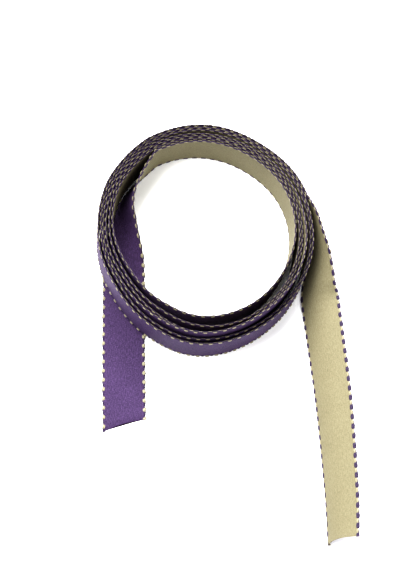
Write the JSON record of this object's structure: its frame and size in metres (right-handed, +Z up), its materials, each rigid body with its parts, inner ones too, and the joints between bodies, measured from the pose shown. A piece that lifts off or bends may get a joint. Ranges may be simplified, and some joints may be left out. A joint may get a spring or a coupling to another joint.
{
  "type": "coiled narrow woven ribbon",
  "caption": "Narrow reversible woven ribbon, purple outside and khaki inside with a two-colour whipped cord along each edge, loosely coiled on its edge with both cut ends free.",
  "frame": {"origin": "centre of the bounding box, on the table the ribbon stands on", "axes": "+Z up, along the coil's axis and across the ribbon's width; the free ends run towards -Y"},
  "size_m": [0.0598, 0.0988, 0.0134],
  "materials": {
    "purple_weave": "fine matt weave",
    "khaki_weave": "fine matt weave",
    "edge_thread": "twisted purple and khaki thread"
  },
  "bodies": {
    "coil": {"coil_purple_face": "purple_weave", "coil_khaki_face": "khaki_weave", "coil_lower_edge_cord": "edge_thread", "coil_upper_edge_cord": "edge_thread"},
    "inner_tail": {"inner_tail_purple_face": "purple_weave", "inner_tail_khaki_face": "khaki_weave", "inner_tail_lower_edge_cord": "edge_thread", "inner_tail_upper_edge_cord": "edge_thread"},
    "outer_tail": {"outer_tail_purple_face": "purple_weave", "outer_tail_khaki_face": "khaki_weave", "outer_tail_lower_edge_cord": "edge_thread", "outer_tail_upper_edge_cord": "edge_thread"}
  },
  "joints": [
    {"name": "inner_tail_fold", "type": "hinge", "parent": "coil", "child": "inner_tail", "pos_m": [-0.023, -0.0068, 0.0004], "axis": [-1, 0, 0], "range_deg": [0, 80]},
    {"name": "outer_tail_fold", "type": "hinge", "parent": "coil", "child": "outer_tail", "pos_m": [0.0233, 0.0032, 0.0054], "axis": [-1, 0, 0], "range_deg": [0, 60]}
  ]
}
